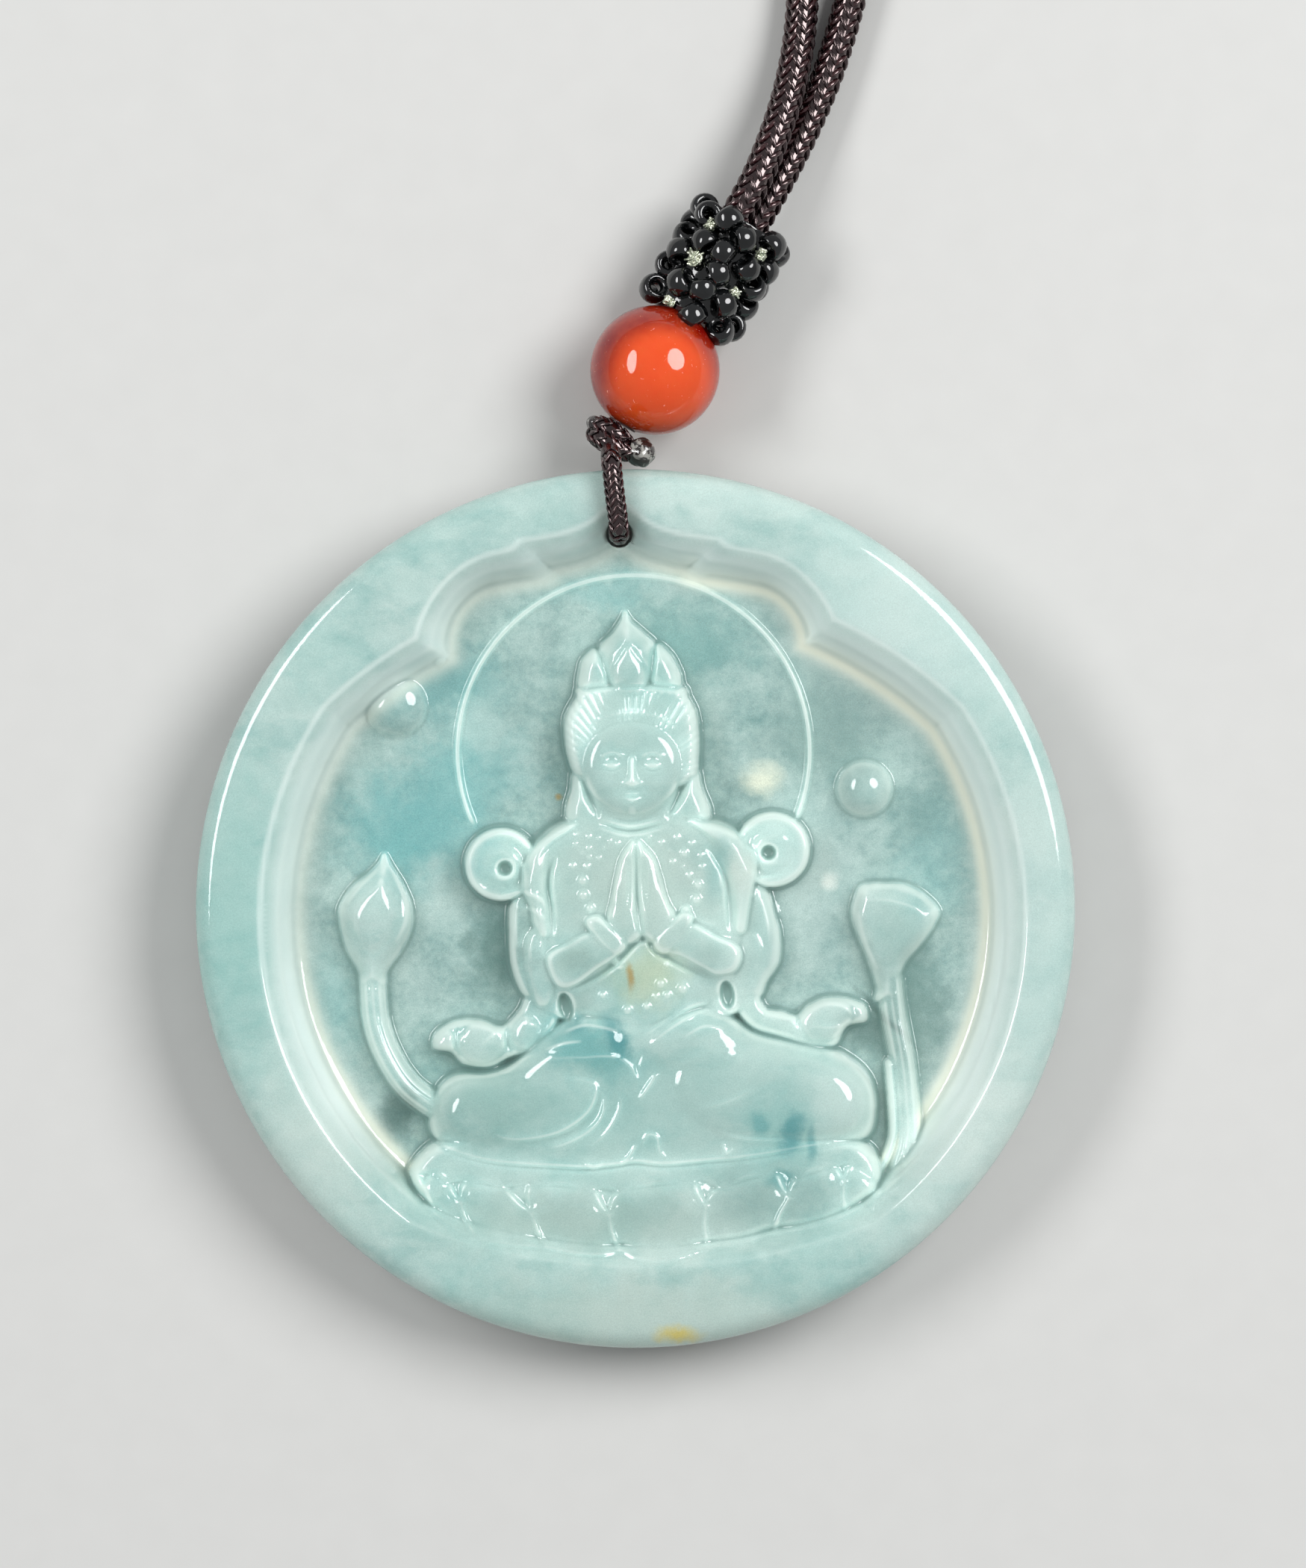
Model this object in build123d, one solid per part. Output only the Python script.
"""Round jadeite pendant carved with a seated guanyin, on a bead drop and a braided neck cord.

The pendant lies face up on a flat surface. Millimetres, +Z up, +Y towards the neck cord.
The origin is on the surface, straight below the middle of the stone. The cord's back leg
lies under the stone at its hole, so the stone rests on that leg and on its own lower edge
and tilts by the cord's thickness.
"""

from build123d import *
import math
import os

os.makedirs("parts", exist_ok=True)

# Stone: a round slab with rounded edges
disc_d = 54.0
disc_t = 6.0
edge_r = 1.3

# Sunk field: a round lower part, square shoulders above it and a pointed arch at the hole
floor_t = 2.2
wall_run = 2.2
field_d = 46.4
field_x = 0.4
field_y = -0.5
field_foot_r = 39.0
field_foot_y = -21.9
field_brow_r = 28.2
field_brow_y = 20.2
shoulder_w = 26.4
shoulder_x = -0.5
shoulder_top_y = 22.1
shoulder_r = 5.0
arch_w = 12.0
arch_rise = 2.9

# Hanging hole and the thin cord through it
hole_x = -1.0
hole_inset = 4.4
hole_gap = 0.3
hole_flare = 0.3
loop_d = 1.3
fit_gap = 0.05

# Knot, bead and sleeve, strung on one straight line that leans towards +X
string_lean = 31.0
knot_d = 2.4
knot_x = -1.5
knot_overlap = 0.8
melted_right_d = 1.8
melted_left_d = 1.1
bead_d = 8.0
thread_d = 1.8
thread_gap = 0.1
sleeve_d = 6.5
sleeve_len = 6.9
sleeve_edge_r = 0.6
thread_in_sleeve = 2.6

# Neck cord: its two ends lie one above the other in the sleeve
neck_d = 2.0
neck_aside = 0.6
neck_rise = 0.84
neck_in_sleeve = 3.9
neck_lead = 0.8

# Relief is raised from the floor to just below the rim
relief_inset = 0.15
pit_d = 1.0
pit_depth = 1.4

# Worked out from the sizes above
disc_r = disc_d / 2
bead_r = bead_d / 2
loop_r = loop_d / 2
neck_r = neck_d / 2
field_depth = disc_t - floor_t
relief_h = field_depth - relief_inset
hole_d = loop_d + 2 * hole_gap
hole_y = math.sqrt(disc_r**2 - hole_x**2) - hole_inset
bore_d = thread_d + 2 * thread_gap
pair_reach = math.hypot(neck_aside, neck_rise) + neck_r
sleeve_bore_d = 2 * (pair_reach + fit_gap)

# The carving is laid out on a grid: one step is a forty-sixth of the field's width
grid = field_d / 46.4

# The stone turns about the middle of its lower edge's rounding
pivot_y = edge_r - disc_r
tilt = math.degrees(math.asin((loop_d + fit_gap) / (hole_y - pivot_y)))

# Route of the neck cord outside the sleeve: x, y and height of each point, chosen by hand
neck_route = [
    (7.98, 45.9, 3.62),
    (9.55, 50.3, 2.35),
    (10.4, 55.2, 1.2),
    (10.6, 66.0, 1.0),
    (7.0, 86.0, 1.0),
    (-4.0, 112.0, 1.0),
    (-20.0, 139.0, 1.0),
    (-35.0, 168.0, 1.0),
    (-44.0, 200.0, 1.0),
    (-42.0, 233.0, 1.0),
    (-28.0, 262.0, 1.0),
    (-5.0, 281.0, 1.0),
    (23.0, 287.5, 1.0),
    (50.0, 282.0, 1.0),
    (72.0, 262.0, 1.0),
    (84.0, 234.0, 1.0),
    (85.0, 202.0, 1.0),
    (75.0, 171.0, 1.0),
    (59.0, 143.0, 1.0),
    (41.0, 117.0, 1.0),
    (26.0, 92.0, 1.0),
    (17.5, 72.0, 1.0),
    (13.9, 58.5, 1.0),
    (12.3, 52.4, 1.0),
    (10.25, 47.5, 1.45),
]


def on_stone(x, y, z):
    """Place of a point of the stone once the stone is tilted."""
    lean = math.radians(tilt)
    out = y - pivot_y
    up = z - edge_r
    return Vector(
        x,
        pivot_y + out * math.cos(lean) - up * math.sin(lean),
        edge_r + out * math.sin(lean) + up * math.cos(lean),
    )


def on_string(along, aside=0.0, height=bead_r):
    """Point on the bead's line: along it from the bead's middle, and to its right."""
    lean = math.radians(string_lean)
    return Vector(
        bead_x + along * math.sin(lean) + aside * math.cos(lean),
        bead_y + along * math.cos(lean) - aside * math.sin(lean),
        height,
    )


def along_string(solid, along, height=bead_r):
    """Turn a solid made on the Z axis onto the bead's line."""
    place = on_string(along, height=height)
    return Pos(*place) * Rot(Z=-string_lean) * Rot(X=-90) * solid


def arc_radii(points):
    """Radius of each corner: 0.45 of its shorter run over the tangent of half its turn."""
    radii = []
    for before, here, after in zip(points, points[1:], points[2:]):
        run_in = Vector(*here) - Vector(*before)
        run_out = Vector(*after) - Vector(*here)
        half_turn = math.radians(run_in.get_angle(run_out)) / 2
        shorter = min(run_in.length, run_out.length)
        radii.append(0.45 * shorter / math.tan(half_turn))
    return radii


def tube(points, radii, width):
    """Round tube along straight runs joined by arcs."""
    path = FilletPolyline(*points, radius=radii)
    start = Plane(origin=path @ 0, z_dir=path % 0)
    made = sweep(start * Circle(width / 2), path=path)
    print(f"tube {path.length:.1f} long, volume over section {made.volume / (math.pi * width**2 / 4):.1f}")
    return made


# Sunk field


def flared(outline):
    """Cutter for a sunk outline: outline(grow) at the floor and at the stone's face."""
    over = 1.0
    low = Pos(0, 0, floor_t) * outline(-wall_run)
    high = Pos(0, 0, disc_t + over) * outline(wall_run * over / field_depth)
    return loft([low, high], ruled=True)


def field_round(grow):
    """Lower, round part of the field."""
    return Pos(field_x, field_y) * Circle(field_d / 2 + grow)


def field_foot(grow):
    """Flatter arc that closes the field under the lotus base."""
    return Pos(field_x, field_foot_y + field_foot_r) * Circle(field_foot_r + grow)


def field_brow(grow):
    """Flatter arc that closes the round part below the shoulders."""
    return Pos(field_x, field_brow_y - field_brow_r) * Circle(field_brow_r + grow)


def field_shoulders(grow):
    """Upper part of the field, with rounded shoulders."""
    tall = shoulder_top_y - field_y
    middle = Pos(shoulder_x, field_y + tall / 2)
    return middle * RectangleRounded(shoulder_w + 2 * grow, tall + 2 * grow, shoulder_r + grow)


def field_arch(grow):
    """Pointed arch at the hanging hole, with hollow flanks."""
    half = arch_w / 2 + grow
    foot = shoulder_top_y - shoulder_r
    spring = shoulder_top_y + grow - 0.1
    rise = arch_rise + 0.1
    tip = spring + rise
    left = hole_x - half
    right = hole_x + half
    edge = Polyline((left, spring), (left, foot), (right, foot), (right, spring))
    edge += ThreePointArc((right, spring), (hole_x + 0.36 * half, spring + 0.44 * rise), (hole_x, tip))
    edge += ThreePointArc((hole_x, tip), (hole_x - 0.36 * half, spring + 0.44 * rise), (left, spring))
    return make_face(edge)


def sunk_field():
    """Everything that is cut away round the carving."""
    cut = flared(field_round) & flared(field_foot) & flared(field_brow)
    return cut + flared(field_shoulders) + flared(field_arch)


# Relief


def dome(x, y, wide, tall, crest, turn=0.0):
    """Half ellipsoid on the floor. Places are grid steps, crest a share of the relief."""
    body = scale(Sphere(1), by=(wide * grid / 2, tall * grid / 2, crest * relief_h))
    return Pos(x * grid, y * grid, floor_t) * Rot(Z=turn) * body


def leaf(x, y, wide, tall, crest, turn=0.0, belly=0.45):
    """Dome cut to a pointed oval, widest at the belly's share of its height."""
    half = tall * grid / 2
    widest = (2 * belly - 1) * half
    side = wide * grid / 2
    edge = ThreePointArc((0, half), (-side, widest), (0, -half))
    edge += ThreePointArc((0, -half), (side, widest), (0, half))
    prism = extrude(make_face(edge), amount=disc_t)
    prism = Pos(x * grid, y * grid) * Rot(Z=turn) * prism
    return prism & dome(x, y, wide * 1.25, tall * 1.15, crest, turn)


def stalk(points, wide, lift):
    """Round stem or ribbon along grid points, its middle at a share of the relief."""
    height = floor_t + lift * relief_h
    path = [Vector(x * grid, y * grid, height) for x, y in points]
    return tube(path, arc_radii(path), wide * grid)


# Forms of the figure from crown to knees: x, y, width, height, crest, turn
figure_domes = [
    (-0.3, 12.2, 8.6, 4.0, 0.90, 0),
    (-0.1, 8.8, 6.6, 7.6, 0.95, 0),
    (-3.7, 7.6, 1.9, 6.4, 0.68, -4),
    (3.6, 7.6, 1.9, 6.4, 0.68, 4),
    (-0.1, 5.3, 4.4, 3.2, 0.62, 0),
    (-0.1, 0.8, 10.6, 11.8, 0.70, 0),
    (-5.0, 3.2, 5.0, 4.6, 0.62, 35),
    (5.2, 3.4, 5.0, 4.6, 0.62, -35),
    (-6.4, -1.6, 3.2, 8.6, 0.66, -4),
    (7.2, -1.2, 3.4, 8.8, 0.66, 4),
    (-3.3, -3.1, 2.9, 5.4, 0.84, -55),
    (4.0, -2.6, 2.9, 5.8, 0.84, 63),
    (-1.8, -1.6, 1.5, 3.4, 0.92, 32),
    (2.6, -0.6, 1.5, 3.0, 0.92, -32),
    (0.2, -5.0, 6.2, 5.6, 0.62, 0),
    (0.8, -9.4, 14.0, 5.4, 0.74, 0),
    (-4.6, -11.9, 15.2, 7.6, 0.84, 3),
    (7.0, -11.5, 15.2, 8.4, 0.88, -3),
]

# Pointed forms of the figure: x, y, width, height, crest, turn
figure_leaves = [
    (-2.5, 14.5, 3.0, 4.6, 0.72, 14),
    (1.9, 14.6, 3.0, 4.8, 0.72, -20),
    (-0.6, 15.2, 4.4, 6.2, 0.86, 0),
    (-0.1, 1.4, 3.3, 6.6, 0.97, 0),
]

# Ribbons that fall from the arms: the points of each, in grid steps
left_ribbon = [(-6.2, -4.4), (-5.6, -6.2), (-6.8, -7.9), (-9.4, -8.4)]
right_ribbon = [(7.4, -3.6), (7.5, -5.6), (8.8, -6.7), (11.2, -6.4)]

# Ribbon ends, scrolls, pearls and the dot: x, y, width, height, crest, turn
field_domes = [
    (-9.6, -8.2, 4.4, 3.0, 0.50, 8),
    (12.4, -6.9, 4.4, 3.2, 0.50, -12),
    (-8.2, 2.7, 4.6, 4.6, 0.56, 0),
    (8.4, 3.6, 4.8, 4.8, 0.56, 0),
    (14.1, 7.3, 3.6, 3.6, 0.48, 0),
    (-14.7, 12.5, 3.6, 3.6, 0.34, 0),
    (-12.0, 15.4, 0.9, 0.9, 0.12, 0),
]

# Drilled pits: x, y
pits = [(-8.0, 2.5), (8.2, 3.4), (-4.3, -6.0), (5.7, -5.4)]

# Lotus bud and seed pod on their stems
bud_stem = [(-16.1, -3.6), (-16.0, -7.1), (-15.0, -9.6), (-12.4, -12.2)]
pod_stem = [(15.5, -3.6), (16.2, -8.5), (16.7, -12.4), (15.9, -16.6)]
stem_w = 1.5
halo_r = 10.8
halo_w = 0.8
halo_x = -0.2
halo_y = 9.65
halo_end_y = 4.6

# Lotus base: petals stand side by side along a shallow arc
petal_count = 7
petal_step = 4.3
petal_w = 5.2
petal_h = 7.0
base_x = 0.6
base_y = -18.8
base_w = 27.0
base_h = 5.4


def halo():
    """Thin raised ring behind the head, open below the scrolls."""
    ring = Torus(halo_r * grid, halo_w * grid / 2)
    top = Pos(0, (halo_end_y - halo_y + 2 * halo_r) * grid) * Box(4 * halo_r, 4 * halo_r, disc_t)
    return Pos(halo_x * grid, halo_y * grid, floor_t) * (ring & top)


def seed_pod():
    """Flared lotus pod with a low rim."""
    corners = [(13.3, -0.5), (14.2, 1.5), (17.3, 1.5), (19.0, 0.1), (16.6, -4.6), (14.7, -4.6)]
    face = make_face(Polyline(*[(x * grid, y * grid) for x, y in corners], close=True))
    face = fillet(face.vertices(), radius=0.6 * grid)
    return extrude(face, amount=disc_t) & dome(16.0, -1.3, 8.0, 9.6, 0.5)


def lotus_base():
    """Seat band with its ring of petals."""
    made = [dome(base_x, base_y + 0.9, base_w, base_h, 0.86)]
    for i in range(petal_count):
        step = i - (petal_count - 1) / 2
        x = base_x + step * petal_step
        y = base_y - 0.4 + 0.16 * step**2
        made.append(leaf(x, y, petal_w, petal_h, 0.96, turn=180 - 3.5 * step, belly=0.6))
    return made


def carved_stone():
    """The whole stone, flat, before it is laid down."""
    slab = Pos(0, 0, disc_t / 2) * Cylinder(disc_r, disc_t)
    slab = fillet(slab.edges(), radius=edge_r)
    slab = slab - sunk_field()

    forms = [dome(*row) for row in figure_domes + field_domes]
    forms += [leaf(*row) for row in figure_leaves]
    forms += lotus_base()
    forms += [
        leaf(-15.85, -0.4, 4.8, 7.4, 0.60, belly=0.42),
        stalk(bud_stem, stem_w, 0.06),
        seed_pod(),
        stalk(pod_stem, stem_w, 0.06),
        stalk(left_ribbon, 1.9, 0.08),
        stalk(right_ribbon, 1.9, 0.08),
        halo(),
    ]
    relief = forms[0] + forms[1:]

    # The carving grows out of the floor and stays below the rim and inside the edge
    inside = extrude(Circle(disc_r - edge_r), amount=field_depth - relief_inset + floor_t / 2)
    slab = slab + (relief & (Pos(0, 0, floor_t / 2) * inside))

    for x, y in pits:
        depth = relief_h + pit_depth / 2
        slab -= Pos(x * grid, y * grid, disc_t - depth / 2) * Cylinder(pit_d * grid / 2, depth)
    hole = Cylinder(hole_d / 2, disc_t * 2)
    lip = Cone(hole_d / 2 + hole_flare, hole_d / 2, hole_flare, align=(Align.CENTER, Align.CENTER, Align.MIN))
    return slab - Pos(hole_x, hole_y) * (hole + lip)


def laid_down(solid):
    """Tilt a solid made in the stone's own frame."""
    return Pos(0, pivot_y, edge_r) * Rot(X=tilt) * Pos(0, -pivot_y, -edge_r) * solid


# Knot and loop

outer_leg_y = disc_r + 2 * fit_gap + loop_r
knot_y = outer_leg_y + knot_overlap
bead_off = knot_d / 2 + fit_gap + bead_r
bead_x = knot_x + bead_off * math.sin(math.radians(string_lean))
bead_y = knot_y + bead_off * math.cos(math.radians(string_lean))
knot_place = Vector(knot_x, knot_y, bead_r)


def knot(grow=0.0):
    """Tight overhand knot with its two melted ends, grown for the loop's clearance."""
    core = Sphere(knot_d / 2 + grow)
    wrap = Rot(Y=64) * Rot(X=24) * Torus(0.30 * knot_d, 0.21 * knot_d + grow)
    right = Pos(0.75 * knot_d, -0.21 * knot_d, 0.3 * knot_d) * Sphere(melted_right_d / 2 + grow)
    left = Pos(-0.46 * knot_d, 0.44 * knot_d, 0.1 * knot_d) * Sphere(melted_left_d / 2 + grow)
    return Pos(*knot_place) * (core + [wrap, right, left])


def loop():
    """Thin cord from the knot over the rim, down through the hole and back underneath."""
    rim = on_stone(knot_x, disc_r, disc_t + loop_r + fit_gap)
    mouth = on_stone(hole_x, hole_y, disc_t + loop_r + fit_gap)
    foot = on_stone(hole_x, hole_y, 0)
    points = [
        Vector(knot_x, outer_leg_y + 0.45 * knot_overlap, bead_r + 0.2 * knot_d),
        Vector(knot_x, outer_leg_y, rim.Z),
        mouth,
        Vector(foot.X, foot.Y, loop_r),
        Vector(knot_x, outer_leg_y, loop_r),
        Vector(knot_x, outer_leg_y + 0.45 * knot_overlap, bead_r - 0.2 * knot_d),
    ]
    rim_bend = edge_r + loop_r + fit_gap
    return tube(points, [rim_bend, loop_d, loop_d, rim_bend], loop_d) - knot(fit_gap)


# Bead, thread and sleeve

sleeve_start = bead_r + fit_gap
sleeve_end = sleeve_start + sleeve_len
sleeve_z = sleeve_d / 2
thread_start = fit_gap - bead_r
thread_end = sleeve_start + thread_in_sleeve


def red_bead():
    """Drilled round bead."""
    bore = Cylinder(bore_d / 2, 2 * bead_d)
    return along_string(Sphere(bead_r) - bore, 0)


def bead_thread():
    """Doubled cord from the knot's side of the bead into the sleeve."""
    rod = Cylinder(thread_d / 2, thread_end - thread_start)
    return along_string(rod, (thread_start + thread_end) / 2)


def sleeve():
    """Sleeve that holds both ends of the neck cord."""
    ring = Cylinder(sleeve_d / 2, sleeve_len) - Cylinder(sleeve_bore_d / 2, 2 * sleeve_len)
    outer = ring.edges().filter_by(GeomType.CIRCLE).sort_by(SortBy.RADIUS)[-2:]
    ring = fillet(outer, radius=sleeve_edge_r)
    return along_string(ring, (sleeve_start + sleeve_end) / 2, height=sleeve_z)


def neck_cord():
    """The whole neck cord, from one end in the sleeve round to the other."""
    lead_in = sleeve_end - neck_in_sleeve
    lead_out = sleeve_end + neck_lead
    points = [
        on_string(lead_in, -neck_aside, sleeve_z + neck_rise),
        on_string(lead_out, -neck_aside, sleeve_z + neck_rise),
        *[Vector(*point) for point in neck_route],
        on_string(lead_out, neck_aside, sleeve_z - neck_rise),
        on_string(lead_in, neck_aside, sleeve_z - neck_rise),
    ]
    radii = arc_radii(points)
    print("neck cord arc radii", " ".join(f"{radius:.0f}" for radius in radii))
    return tube(points, radii, neck_d)


nodes = {
    "jade_disc": laid_down(carved_stone()),
    "hanging_loop": loop(),
    "loop_knot": knot(),
    "red_bead": red_bead(),
    "bead_thread": bead_thread(),
    "seed_bead_sleeve": sleeve(),
    "neck_cord": neck_cord(),
}

for name, solid in nodes.items():
    export_step(solid, f"parts/{name}.step")
    print(name, "solids", len(solid.solids()), "volume", round(solid.volume, 1), "valid", solid.is_valid)
